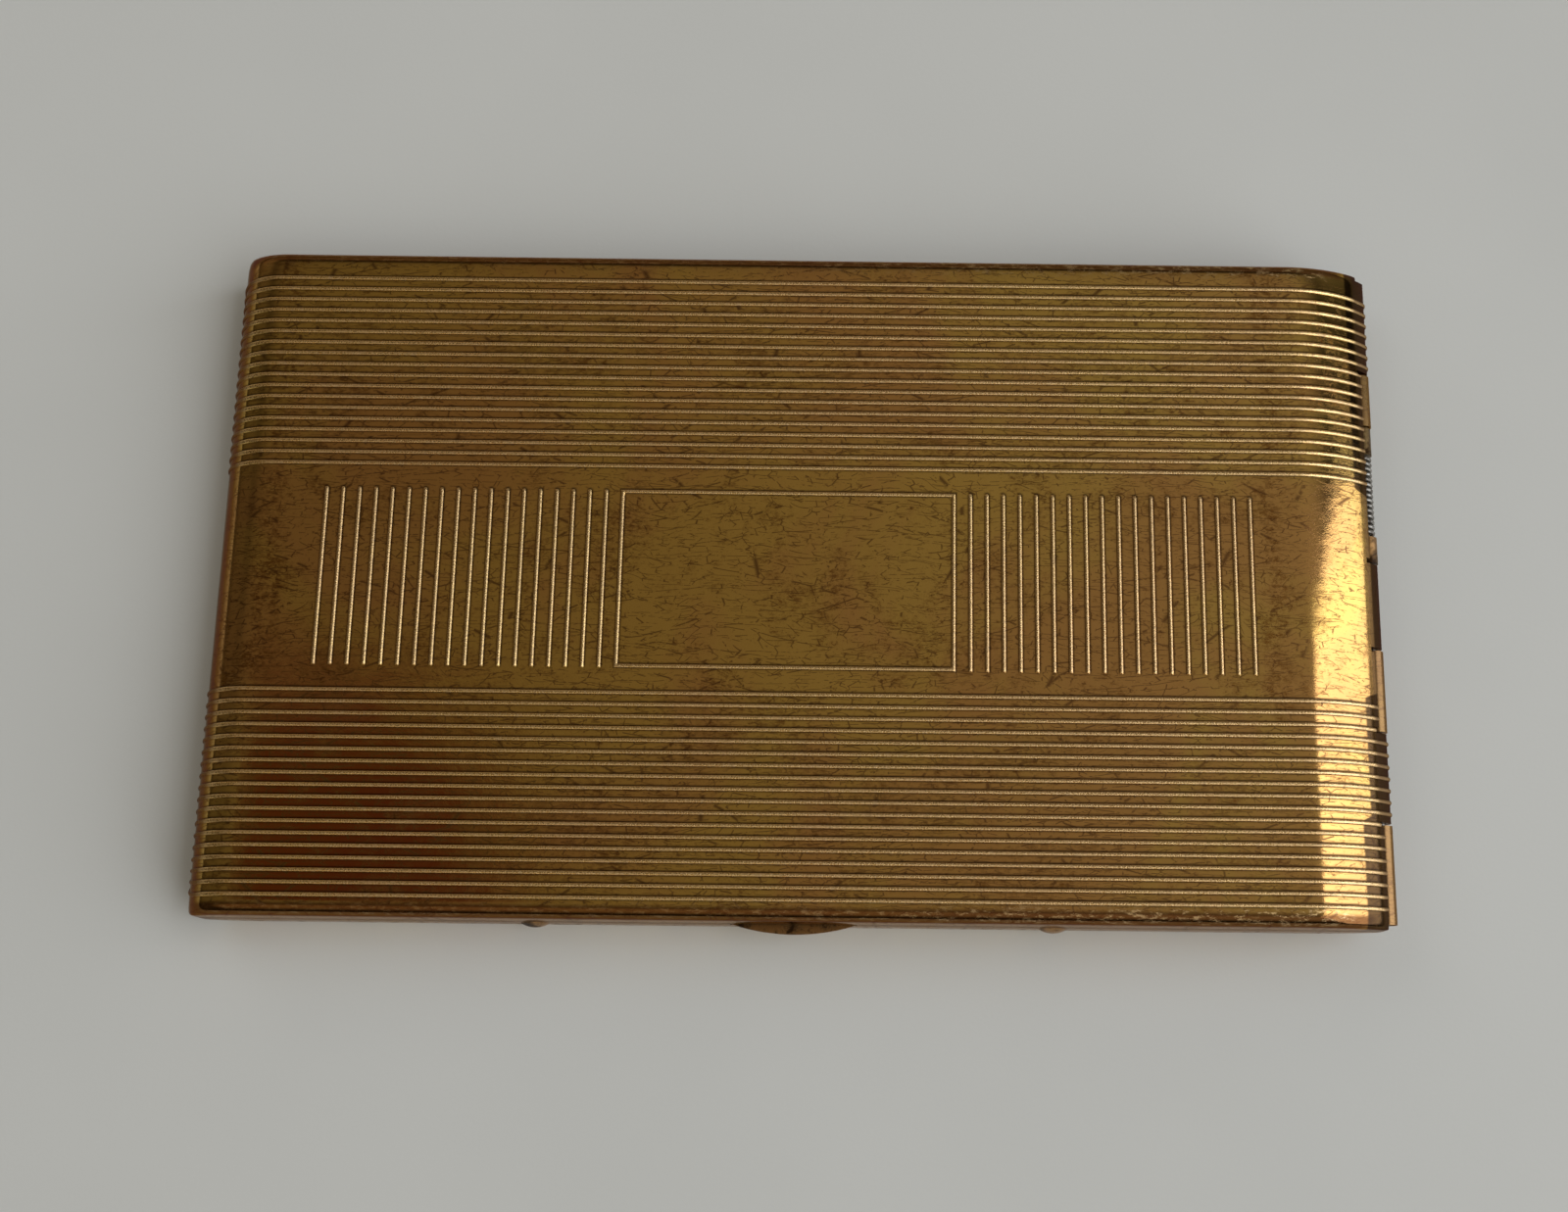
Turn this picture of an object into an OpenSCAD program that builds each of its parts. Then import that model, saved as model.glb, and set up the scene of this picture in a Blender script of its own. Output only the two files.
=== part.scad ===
// Slim metal card case: two stamped half shells on a spring hinge, with a thumb catch.
// Frame: origin at the centre of the flat underside, +X towards the hinge, +Y to the
// back edge, +Z up. Millimetres.

/* [Case] */
// Overall length, from the closed end to the outside of the hinge
case_len = 100; // [96:1:106]
// Width across the side walls
case_w = 57.9; // [57:0.1:60]
// Thickness of the closed case, without the ribs
case_h = 7.6; // [7.4:0.1:8]
// Thickness of the sheet metal
sheet = 0.5; // [0.4:0.05:0.6]
// Gap between the two rims when closed
rim_gap = 0.06; // [0.02:0.02:0.1]
// Radius of the curved closed end
end_r = 4.4; // [4.2:0.1:5]
// Length over which the shells curve down to the hinge
hinge_run = 6.9; // [6:0.1:8]
// Radius of the long edges
edge_r = 1.1; // [0.8:0.1:1.4]
// Radius of the corners at the closed end, seen from above
corner_r = 1; // [0.8:0.1:1.6]
// Cut across the corners at the hinge end
corner_cut = 1.3; // [1:0.1:1.6]

/* [Pattern] */
// Ribs in each band
rib_count = 18; // [12:1:18]
// Distance from the middle line to the first rib
rib_start = 9.88; // [9:0.01:10.2]
// Distance from rib to rib
rib_pitch = 0.998; // [0.9:0.002:1]
// Width of a rib or bar
rib_w = 0.4; // [0.25:0.01:0.45]
// Height of a rib or bar
rib_h = 0.13; // [0.08:0.01:0.2]
// Upright bars on each side of the panel
bar_count = 18; // [10:1:18]
// Distance from bar to bar
bar_pitch = 1.4; // [1.2:0.01:1.42]
// Length of a bar
bar_len = 15.6; // [12:0.1:17]
// Middle of the pattern along the case
pattern_x = -1.07; // [-2:0.01:0]
// Middle of the pattern across the case
pattern_y = -0.45; // [-0.6:0.05:0]
// Length of the framed panel
panel_len = 28.2; // [24:0.1:29]
// Width of the framed panel
panel_w = 15.2; // [12:0.1:17]
// Gap from the panel's frame to the first bar
panel_gap = 1.42; // [1:0.01:2]

/* [Hinge] */
// Outer radius of the knuckles
knuckle_r = 0.9; // [0.85:0.01:1]
// Radius of the hinge pin
pin_r = 0.35; // [0.3:0.01:0.4]
// Radial play of the pin in the knuckles
pin_play = 0.03; // [0.02:0.01:0.06]
// Radius cleared around the knuckles by the other shell
clear_r = 1.25; // [1.1:0.05:1.3]
// Radius of the spring wire
wire_r = 0.19; // [0.15:0.01:0.2]
// Turns of the hinge spring
spring_turns = 14; // [10:1:14]

/* [Catch] */
// Width of the thumb piece
tab_w = 10.3; // [8:0.1:12]
// How far the thumb piece stands out of the wall
tab_out = 0.8; // [0.6:0.05:1]
// Thickness of the thumb piece
tab_t = 0.55; // [0.4:0.05:0.6]
// Distance from the middle to each rivet
rivet_x = 21.6; // [18:0.1:24]
// Radius of the rivet heads
rivet_r = 1.2; // [1:0.1:1.4]

/* [Card retainer] */
// Distance from the middle of the case to the pivot
retainer_x = 43; // [42.5:0.1:43.2]
// Length of the retainer's arms
arm_len = 43; // [30:1:60]
// Distance from the middle line to each arm
arm_y = 17; // [12:0.5:20]

/* [Hidden] */
$fn = 48;

brass = [0.60, 0.46, 0.22];
dark_brass = [0.42, 0.33, 0.18];
steel = [0.40, 0.39, 0.37];

half_len = case_len / 2;
half_w = case_w / 2;
half_h = case_h / 2;
wall_y = half_w - sheet;
reach = 2 * case_len;

// Hinge axis, and the arc that runs from the flat top down onto the knuckles
pin_x = half_len - knuckle_r;
pin_z = half_h;
arc_x = pin_x - hinge_run;
touch_r = knuckle_r - 0.04;
arc_r = (pow(hinge_run, 2) + pow(half_h, 2) - pow(touch_r, 2)) / (2 * (half_h - touch_r));
arc_z = case_h - arc_r;
bore_r = pin_r + pin_play;

// Centre of the closed end's arc
end_z = case_h - end_r;
end_x = -half_len + sqrt(pow(end_r, 2) - pow(half_h - end_z, 2));

// Stations of the hinge, each as [back end, front end]
lid_edges = [[28.5, 19.85], [2.3, -5.1], [-12.5, -20.05]];
base_edges = [[19.65, 14.95], [-5.3, -12.3], [-20.25, -28.5]];
back_collar = [14.8, 12.35];
front_collar = [4.85, 2.5];
spring_span = [12.25, 4.95];
pin_end = 28.4;

// Catch: the tab slides in a notch in the base wall, just under the rim
tab_top = half_h - 0.12;
notch_play = 0.1;
tab_in = 1.45;
plate_t = 0.5;
plate_y = -half_w + tab_in;
leaf_t = 0.3;
leaf_z = [1.1, 3];
leaf_end = rivet_x + 2;
leaf_bend = rivet_x - 4;
rivet_z = 2.2;
rivet_dome = 0.35;
rivet_back = 0.3;
shank_r = 0.5;
hook_w = 5.2;
hook_lip = 0.4;
hook_top = 5.4;
hook_play = 0.08;
strike_w = 8;
strike_z = 4;
strike_h = 1.9;
thumb_w = 7;
thumb_h = 0.5;

// Retainer: barrels on a wire in two ears
barrel_r = 0.75;
retainer_z = case_h - sheet - barrel_r - 0.35;
retainer_pin_r = 0.4;
retainer_play = 0.05;
arm_w = 3;
arm_t = 0.5;
ear_y = arm_y + arm_w / 2 + 0.25;
ear_t = 0.8;
ear_r = 0.85;
ear_foot = 2.4;

// Lays a drawing made in X and Z across the case, from y0 at the back to y1 at the front
module across(y0, y1) {
    translate([0, y0, 0]) rotate([90, 0, 0]) linear_extrude(height = y0 - y1) children();
}

// Puts one copy on each side of the middle line
module both_sides() {
    children();
    mirror([0, 1, 0]) children();
}

// Side view of the upper half, shrunk by `inset` and cut off below `floor_z`: the closed
// end's arc, the flat top, and the long arc that ends on the line to the hinge axis
module side_view(inset, floor_z) {
    intersection() {
        union() {
            translate([end_x, end_z]) circle(end_r - inset, $fn = 96);
            translate([end_x, 0]) square([arc_x - end_x, case_h - inset]);
            intersection() {
                translate([arc_x, arc_z]) circle(arc_r - inset, $fn = 180);
                translate([arc_x, arc_z])
                    polygon([[0, 0], [0, reach], [3 * hinge_run, 3 * (pin_z - arc_z)]]);
            }
        }
        translate([-reach, floor_z]) square(2 * reach);
    }
}

// End view of the upper half, shrunk by `inset`, with its rounded long edges
module end_view(inset) {
    translate([-half_w + inset, 0]) square([case_w - 2 * inset, case_h - edge_r]);
    translate([-half_w + edge_r, 0]) square([case_w - 2 * edge_r, case_h - inset]);
    for (side = [-1, 1])
        translate([side * (half_w - edge_r), case_h - edge_r]) circle(edge_r - inset);
}

// Plan of the case, shrunk by `inset`: round corners at the closed end, cut ones at the hinge
module plan(inset) {
    difference() {
        union() {
            translate([-half_len + corner_r, -half_w + inset]) square([case_len, case_w - 2 * inset]);
            translate([-half_len + inset, -half_w + corner_r]) square([case_len, case_w - 2 * corner_r]);
            for (side = [-1, 1])
                translate([corner_r - half_len, side * (half_w - corner_r)]) circle(corner_r - inset);
        }
        for (side = [-1, 1])
            translate([half_len, side * half_w]) rotate(45)
                square(sqrt(2) * corner_cut + 2 * inset, center = true);
    }
}

// Solid block with the outer form of the upper half, shrunk by `inset`
module upper_block(inset, floor_z) {
    intersection() {
        across(half_w, -half_w) side_view(inset, floor_z);
        rotate([90, 0, 90]) translate([0, 0, -case_len]) linear_extrude(height = 2 * case_len)
            end_view(inset);
        linear_extrude(height = 2 * case_h) plan(inset);
    }
}

// Turns an upper half into a lower half
module lower() {
    translate([0, 0, case_h]) mirror([0, 0, 1]) children();
}

// Thin-walled upper half with its rim just above the middle
module upper_shell() {
    difference() {
        upper_block(0, half_h + rim_gap / 2);
        upper_block(sheet, half_h - 1);
    }
}

// Round bar or hole along the hinge axis
module hinge_round(span, radius) {
    across(span[0], span[1]) translate([pin_x, pin_z]) circle(radius);
}

// Cuts a shell free of the hinge, except at its own knuckles, and adds those knuckles
module with_knuckles(spans) {
    difference() {
        union() {
            difference() {
                children();
                difference() {
                    hinge_round([half_w + 1, -half_w - 1], clear_r);
                    for (span = spans)
                        across(span[0], span[1]) square([case_len, case_h]);
                }
            }
            for (span = spans) hinge_round(span, knuckle_r);
        }
        for (span = spans) hinge_round([span[0] + 1, span[1] - 1], bore_r);
    }
}

// Distance of rib i from the middle of the pattern
function rib_y(i) = rib_start + i * rib_pitch;

// Ribs of both bands, running over the curved end and down to the hinge
module ribs() {
    for (side = [-1, 1], i = [0 : rib_count - 1]) {
        y = pattern_y + side * rib_y(i);
        across(y + rib_w / 2, y - rib_w / 2) difference() {
            side_view(-rib_h, half_h + rim_gap / 2);
            side_view(sheet / 2, half_h - 1);
        }
    }
}

// Distance of bar i from the middle of the pattern
function bar_x(i) = panel_len / 2 + panel_gap + i * bar_pitch;

// Upright bars with round ends, and the frame of the plain panel
module bars_and_panel() {
    translate([pattern_x, pattern_y, case_h - sheet / 2]) linear_extrude(height = sheet / 2 + rib_h) {
        for (side = [-1, 1], i = [0 : bar_count - 1]) translate([side * bar_x(i), 0]) {
            square([rib_w, bar_len - rib_w], center = true);
            for (end = [-1, 1]) translate([0, end * (bar_len - rib_w) / 2]) circle(rib_w / 2);
        }
        difference() {
            square([panel_len + rib_w, panel_w + rib_w], center = true);
            square([panel_len - rib_w, panel_w - rib_w], center = true);
        }
    }
}

// Stamped lid with its ribs, bars and panel, rolled into three knuckles
module lid_shell() {
    color(brass) difference() {
        with_knuckles(lid_edges) union() {
            upper_shell();
            ribs();
            bars_and_panel();
        }
        translate([-thumb_w / 2, -half_w - 1, half_h]) cube([thumb_w, 1 + sheet * 1.5, thumb_h]);
    }
}

// Plain lower half, rolled into three smooth knuckles; notch for the thumb piece, rivet holes
module base_shell() {
    color(brass) difference() {
        with_knuckles(base_edges) lower() upper_shell();
        translate([-tab_w / 2 - notch_play, -half_w - 1, tab_top - tab_t - notch_play])
            cube([tab_w + 2 * notch_play, 1 + sheet * 1.5, case_h]);
        both_rivets() translate([0, -1, 0]) rotate([-90, 0, 0])
            cylinder(r = shank_r + 0.03, h = 2 + sheet);
    }
}

// Wire through every knuckle, sleeve and the spring
module hinge_pin() {
    color(steel) hinge_round([pin_end, -pin_end], pin_r);
}

// Sleeve behind the spring
module spring_collar_back() {
    color(dark_brass) difference() {
        hinge_round(back_collar, knuckle_r - 0.08);
        hinge_round([back_collar[0] + 1, back_collar[1] - 1], bore_r);
    }
}

// Sleeve in front of the spring
module spring_collar_front() {
    color(brass) difference() {
        hinge_round(front_collar, knuckle_r - 0.02);
        hinge_round([front_collar[0] + 1, front_collar[1] - 1], bore_r);
    }
}

// Middle line of the spring: leg under the lid, coil, leg on the base floor
coil_r = pin_r + 0.05 + wire_r;
coil_steps = 14;
coil_turns = spring_turns + 0.5;
coil_back = spring_span[0] - wire_r;
coil_front = spring_span[1] + wire_r;
leg_run = 1.8;
leg_reach = arc_r - sheet - wire_r - 0.06;
leg_rise = arc_z + sqrt(pow(leg_reach, 2) - pow(leg_run, 2)) - pin_z;
bend_x = pin_x - 0.7;

function coil_point(turn) = [
    pin_x + coil_r * sin(360 * turn),
    coil_back + (coil_front - coil_back) * turn / coil_turns,
    pin_z + coil_r * cos(360 * turn)];

spring_path = concat(
    [[arc_x + leg_run, coil_back, pin_z + leg_rise], [bend_x, coil_back, pin_z + coil_r]],
    [for (i = [0 : coil_turns * coil_steps]) coil_point(i / coil_steps)],
    [[bend_x, coil_front, pin_z - coil_r], [arc_x + leg_run, coil_front, pin_z - leg_rise]]);

function unit(v) = v / norm(v);

// Direction of a path at point i
function heading(path, i) =
    unit(path[min(i + 1, len(path) - 1)] - path[max(i - 1, 0)]);

// Ring of `sides` points around point i of a path
function ring(path, i, radius, sides) =
    let (
        forward = heading(path, i),
        u = unit(cross(forward, [0, 1, 0])),
        v = cross(u, forward))
    [for (k = [0 : sides - 1])
        path[i] + radius * (cos(360 * k / sides) * u + sin(360 * k / sides) * v)];

// Round wire along a path
module wire(path, radius, sides = 8) {
    last = len(path) - 1;
    points = [for (i = [0 : last]) each ring(path, i, radius, sides)];
    walls = [for (i = [0 : last - 1], k = [0 : sides - 1])
        [i * sides + k, (i + 1) * sides + k,
            (i + 1) * sides + (k + 1) % sides, i * sides + (k + 1) % sides]];
    caps = [[for (k = [0 : sides - 1]) k], [for (k = [sides - 1 : -1 : 0]) last * sides + k]];
    polyhedron(points, concat(walls, caps), convexity = 10);
}

// Torsion spring around the pin, with a leg under each shell
module hinge_spring() {
    color(steel) wire(spring_path, wire_r);
}

// Places its children at both rivets, on the outside of the front wall
module both_rivets() {
    for (side = [-1, 1]) translate([side * rivet_x, -half_w, rivet_z]) children();
}

// Leaf spring: flat on the wall at the rivets, bowed inwards behind the catch
module latch_leaf() {
    outline = [[leaf_end, -wall_y], [leaf_bend, -wall_y], [tab_w / 2 + 1, plate_y + plate_t],
        [-tab_w / 2 - 1, plate_y + plate_t], [-leaf_bend, -wall_y], [-leaf_end, -wall_y]];
    inner = [for (i = [len(outline) - 1 : -1 : 0]) outline[i] + [0, leaf_t]];
    color(steel) difference() {
        translate([0, 0, leaf_z[0]]) linear_extrude(height = leaf_z[1] - leaf_z[0])
            polygon(concat(outline, inner));
        both_rivets() rotate([-90, 0, 0]) cylinder(r = shank_r + 0.03, h = 3);
    }
}

// Half-moon thumb piece, the plate behind the wall, and the hook that holds the lid
module thumb_catch() {
    moon_r = (pow(tab_w / 2, 2) + pow(tab_out, 2)) / (2 * tab_out);
    color(brass) union() {
        translate([0, 0, tab_top - tab_t]) linear_extrude(height = tab_t) {
            intersection() {
                translate([0, moon_r - half_w - tab_out]) circle(moon_r, $fn = 180);
                translate([-tab_w / 2, -half_w - tab_out]) square([tab_w, tab_out]);
            }
            translate([-tab_w / 2, -half_w]) square([tab_w, tab_in + plate_t]);
        }
        translate([-tab_w / 2, plate_y, leaf_z[0]]) cube([tab_w, plate_t, tab_top - leaf_z[0]]);
        translate([-hook_w / 2, plate_y, tab_top - tab_t]) cube([hook_w, plate_t, hook_top - tab_top + tab_t]);
        translate([-hook_w / 2, plate_y - hook_lip, hook_top - hook_lip])
            cube([hook_w, hook_lip + plate_t, hook_lip]);
    }
}

// Two rivets: domed head outside, shank through wall and leaf, flat head inside
module latch_rivets() {
    dome_r = (pow(rivet_r, 2) + pow(rivet_dome, 2)) / (2 * rivet_dome);
    color(brass) both_rivets() rotate([90, 0, 0]) {
        intersection() {
            translate([0, 0, rivet_dome - dome_r]) sphere(dome_r, $fn = 96);
            cylinder(r = rivet_r, h = rivet_dome);
        }
        translate([0, 0, -sheet - leaf_t - rivet_back]) {
            cylinder(r = shank_r, h = sheet + leaf_t + rivet_back);
            cylinder(r = shank_r * 1.8, h = rivet_back);
        }
    }
}

// Keeper plate on the lid's front wall; its lip stands just clear of the hook
module lid_strike() {
    color(brass) {
        translate([-strike_w / 2, -wall_y, strike_z]) cube([strike_w, leaf_t, strike_h]);
        translate([-strike_w / 2, -wall_y, strike_z + leaf_t])
            cube([strike_w, plate_y - hook_lip - hook_play + wall_y, leaf_t]);
    }
}

// Round bar or hole on the retainer's pivot axis
module pivot_round(span, radius) {
    across(span[0], span[1]) translate([retainer_x, retainer_z]) circle(radius);
}

// U-shaped bail: two arms on barrels, joined by a cross bar
module card_retainer() {
    outer_y = arm_y + arm_w / 2;
    far_x = retainer_x - arm_len - arm_w / 2;
    color(brass) difference() {
        union() {
            translate([0, 0, retainer_z + barrel_r - arm_t]) linear_extrude(height = arm_t) difference() {
                union() {
                    translate([far_x + arm_w, -outer_y]) square([retainer_x - far_x - arm_w, 2 * outer_y]);
                    translate([far_x, arm_w - outer_y]) square([arm_w * 2, 2 * (outer_y - arm_w)]);
                    for (side = [-1, 1])
                        translate([far_x + arm_w, side * (outer_y - arm_w)]) circle(arm_w);
                }
                translate([far_x + arm_w, arm_w - outer_y]) square([arm_len * 2, 2 * (outer_y - arm_w)]);
            }
            both_sides() pivot_round([outer_y, outer_y - arm_w], barrel_r);
        }
        pivot_round([half_w, -half_w], retainer_pin_r + retainer_play);
    }
}

// Pivot wire of the retainer
module retainer_pin() {
    color(steel) pivot_round([ear_y + ear_t + 0.2, -ear_y - ear_t - 0.2], retainer_pin_r);
}

// Two brackets on the base floor that carry the pivot wire
module retainer_ears() {
    color(dark_brass) both_sides() intersection() {
        difference() {
            union() {
                pivot_round([ear_y + ear_t, ear_y], ear_r);
                translate([retainer_x - ear_r, ear_y, 0]) cube([2 * ear_r, ear_t, retainer_z]);
                translate([retainer_x - ear_r - ear_foot, ear_y, 0])
                    cube([2 * ear_r + ear_foot, ear_foot, sheet + ear_t / 2]);
            }
            pivot_round([half_w, 0], retainer_pin_r + 0.03);
        }
        lower() upper_block(sheet, -reach);
    }
}

lid_shell();
base_shell();
hinge_pin();
hinge_spring();
spring_collar_back();
spring_collar_front();
latch_leaf();
thumb_catch();
latch_rivets();
lid_strike();
card_retainer();
retainer_pin();
retainer_ears();
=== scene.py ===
import math

import bmesh
import bpy
import numpy as np
from mathutils import Matrix, Vector


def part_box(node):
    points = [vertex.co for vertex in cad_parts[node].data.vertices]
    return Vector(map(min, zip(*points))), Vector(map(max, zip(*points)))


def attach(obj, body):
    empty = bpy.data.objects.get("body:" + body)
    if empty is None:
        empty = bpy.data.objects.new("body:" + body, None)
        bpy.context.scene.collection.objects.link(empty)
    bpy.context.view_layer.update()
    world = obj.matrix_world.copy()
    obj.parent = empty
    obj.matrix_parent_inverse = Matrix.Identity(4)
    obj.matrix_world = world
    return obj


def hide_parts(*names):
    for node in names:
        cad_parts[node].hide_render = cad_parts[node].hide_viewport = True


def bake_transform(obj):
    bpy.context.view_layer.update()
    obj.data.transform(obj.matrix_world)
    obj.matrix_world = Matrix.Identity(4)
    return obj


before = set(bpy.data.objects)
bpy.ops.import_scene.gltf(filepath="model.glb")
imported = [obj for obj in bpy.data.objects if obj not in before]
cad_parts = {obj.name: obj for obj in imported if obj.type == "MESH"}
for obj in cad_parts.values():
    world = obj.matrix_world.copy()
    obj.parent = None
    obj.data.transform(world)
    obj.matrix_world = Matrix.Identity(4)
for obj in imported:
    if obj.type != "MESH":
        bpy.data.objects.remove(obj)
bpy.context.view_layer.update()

# Gilt brass card case. Lengths below are millimetres; meshes are made in metres.
MM = 0.001


def node_box(name):
    """Lowest and highest corner of a CAD node, in millimetres."""
    return [np.array(corner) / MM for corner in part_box(name)]


base_low, base_high = node_box("base_shell")
lid_high = node_box("lid_shell")[1]
pin_low, pin_high = node_box("hinge_pin")

# Sheet-metal sizes
SHEET = 0.5
RIB_W, RIB_H = 0.4, 0.13
CASE_H = lid_high[2] - RIB_H
HALF_LEN, HALF_W = -base_low[0], base_high[1]
RIM_GAP = 0.06
RIM_Z = CASE_H / 2 + RIM_GAP / 2
END_R, EDGE_R = 4.4, 1.1
CORNER_R, HINGE_CORNER_R = 1.0, 1.4

# Hinge axis, and the long arc that runs down to it
PIN_X, PIN_Z = (pin_low[0] + pin_high[0]) / 2, (pin_low[2] + pin_high[2]) / 2
HINGE_RUN, TOUCH_R, KNUCKLE_R = 6.9, 0.86, 0.9
ARC_X = PIN_X - HINGE_RUN
ARC_R = (HINGE_RUN**2 + (CASE_H / 2) ** 2 - TOUCH_R**2) / (2 * (CASE_H / 2 - TOUCH_R))
ARC_Z = CASE_H - ARC_R
TANGENT = math.atan2(HINGE_RUN, PIN_Z - ARC_Z)
LIP, NOTCH_DEPTH = math.radians(40.6), math.radians(2.6)
CURL = math.radians(284)
END_Z = CASE_H - END_R
END_X = -HALF_LEN + math.sqrt(END_R**2 - (CASE_H / 2 - END_Z) ** 2)

# Knuckles of each shell along the hinge, as (back end, front end)
LID_SPANS = [(28.5, 19.85), (2.3, -5.1), (-12.5, -20.05)]
BASE_SPANS = [(19.65, 14.95), (-5.3, -12.3), (-20.25, -28.5)]
NOTCH_W = 0.45

# Pattern on the lid
PATTERN_X, PATTERN_Y = -1.07, -0.45
RIB_COUNT, RIB_START, RIB_PITCH = 18, 9.88, 0.998
BAR_COUNT, BAR_PITCH, BAR_LEN = 18, 1.4, 15.6
PANEL_LEN, PANEL_W, PANEL_GAP = 28.2, 15.2, 1.42
RIB_EDGE = RIB_START + (RIB_COUNT - 0.5) * RIB_PITCH
HALF_BAR = (BAR_LEN - RIB_W) / 2

# Cut-outs in the front walls: half width, and height above the rim
THUMB_CUT = (3.5, 0.47)
TAB_NOTCH = (5.25, 0.77)

# Stations across a bead and the dirt and painted shade beside it, as shares of the bead's half
# width
BEAD = (-1.9, -1, -0.88, -0.55, 0, 0.55, 0.88, 1, 1.9)

# Dirt and painted shade at the feet of a bead: how far it spreads, and its share on the near side
FOOT_SPREAD, NEAR_SIDE_SHARE = 0.7, 0.3

# Mesh grid: spacing on the flat, and stations along the hinge arc before the lip's notch
GRID, ARC_STEPS = 1.4, 18

# The ribs fade out between these stations of the rolled knuckle
RIB_FADE = (14, 19)

# Knuckle ends beyond this y are the shell's own corners and have no notch; the rounding of
# the corners in plan is taken up between the other y and the wall
CORNER_Y, ROUNDING_Y = 25, 24

# The inner sheet's lip stops this much short of the outer one's
LIP_STEP = math.radians(1.4)

# Hinge spring: turns and wire radius, play at the pin and under the sheet, where its legs
# end past the start of the hinge arc, and its rounded wire end as (length, radius) shares
SPRING_TURNS, WIRE_R = 14.5, 0.19
COIL_PLAY, LEG_PLAY, LEG_RUN = 0.05, 0.06, 1.8
WIRE_CAP = ((0.42, 0.8), (0.63, 0.42))

# Latch leaf: thickness and edge rounding, how far its rivet is from its end, and how far past
# the catch's plate its bend starts
LEAF_T, LEAF_ROUND = 0.3, 0.07
RIVET_INSET, PLATE_REACH = 6, 1


def bead(distance):
    """Height of a round bead at a distance from its middle line, from 0 to 1."""
    t = np.clip(np.abs(distance) / (RIB_W / 2), 0, 1)
    return (1 - t**2) ** 0.8


def smooth(x, low, high):
    """0 below low, 1 above high, smooth between."""
    t = np.clip((x - low) / (high - low), 0, 1)
    return t * t * (3 - 2 * t)


def rib_lines():
    """Y of each rib of both bands."""
    return [PATTERN_Y + side * (RIB_START + i * RIB_PITCH)
            for side in (-1, 1) for i in range(RIB_COUNT)]


def bar_lines():
    """X of each upright bar."""
    first = PANEL_LEN / 2 + PANEL_GAP
    return [PATTERN_X + side * (first + i * BAR_PITCH)
            for side in (-1, 1) for i in range(BAR_COUNT)]


def merged(values, tolerance=0.012):
    """Sorted values without near duplicates."""
    kept = []
    for value in sorted(values):
        if not kept or value - kept[-1] > tolerance:
            kept.append(value)
    return np.array(kept)


def stations(start, stop, step, extra=()):
    """Evenly spaced values from start to stop, and the extra ones between them."""
    count = max(2, round((stop - start) / step) + 1)
    inside = [v for v in extra if start < v < stop]
    even = [v for v in np.linspace(start, stop, count)
            if all(abs(v - e) > step / 4 for e in inside) or v in (start, stop)]
    return merged([*even, *inside])


def across_beads(lines):
    """Stations over each bead and the dirt and painted shade beside it."""
    return [line + share * RIB_W / 2 for line in lines for share in BEAD]


# ---- Relief ---------------------------------------------------------------------------

def line_distance(x, y):
    """Distance to the nearest rib, bar or frame line, on the flat of the lid."""
    ribs = np.min([np.abs(y - line) for line in rib_lines()], axis=0)
    beyond = np.maximum(np.abs(y - PATTERN_Y) - HALF_BAR, 0)
    bars = np.min([np.hypot(x - line, beyond) for line in bar_lines()], axis=0)
    frame_x = np.abs(x - PATTERN_X) - PANEL_LEN / 2
    frame_y = np.abs(y - PATTERN_Y) - PANEL_W / 2
    panel = np.abs(np.maximum(frame_x, frame_y))
    return np.minimum(ribs, np.minimum(bars, panel))


def bead_relief(x, y, roll_start):
    """Height of the pattern, and dirt with painted shade at the feet of its beads, each from 0 to
    1.
    """
    apart = line_distance(x, y)
    fade = 1 - smooth(np.arange(len(x)), roll_start + RIB_FADE[0], roll_start + RIB_FADE[1])
    # Painted shade: the dark at a bead's feet is full on its far (+x, +y) side and only partly on
    # its near side, as if shaded from the light
    far_side = line_distance(x + 0.01, y + 0.01) > apart
    foot_dirt_and_shade = np.clip(1 - np.abs(apart / (RIB_W / 2) - 1) / FOOT_SPREAD, 0, 1)
    foot_dirt_and_shade *= np.where(far_side, 1.0, NEAR_SIDE_SHARE)
    return bead(apart) * fade[:, None], foot_dirt_and_shade * fade[:, None]


def pattern_cuts():
    """Stations that the pattern needs, along x and along y."""
    uprights = [*bar_lines(), PATTERN_X - PANEL_LEN / 2, PATTERN_X + PANEL_LEN / 2]
    ends = [PATTERN_Y + sign * half for half in (HALF_BAR, PANEL_W / 2) for sign in (-1, 1)]
    return across_beads(uprights), across_beads([*rib_lines(), *ends])


# ---- Half shell -----------------------------------------------------------------------

def knuckle_edges(spans):
    """Both ends of each knuckle, as (y, direction away from the knuckle)."""
    return [edge for back, front in spans for edge in ((back, 1), (front, -1))]


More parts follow.
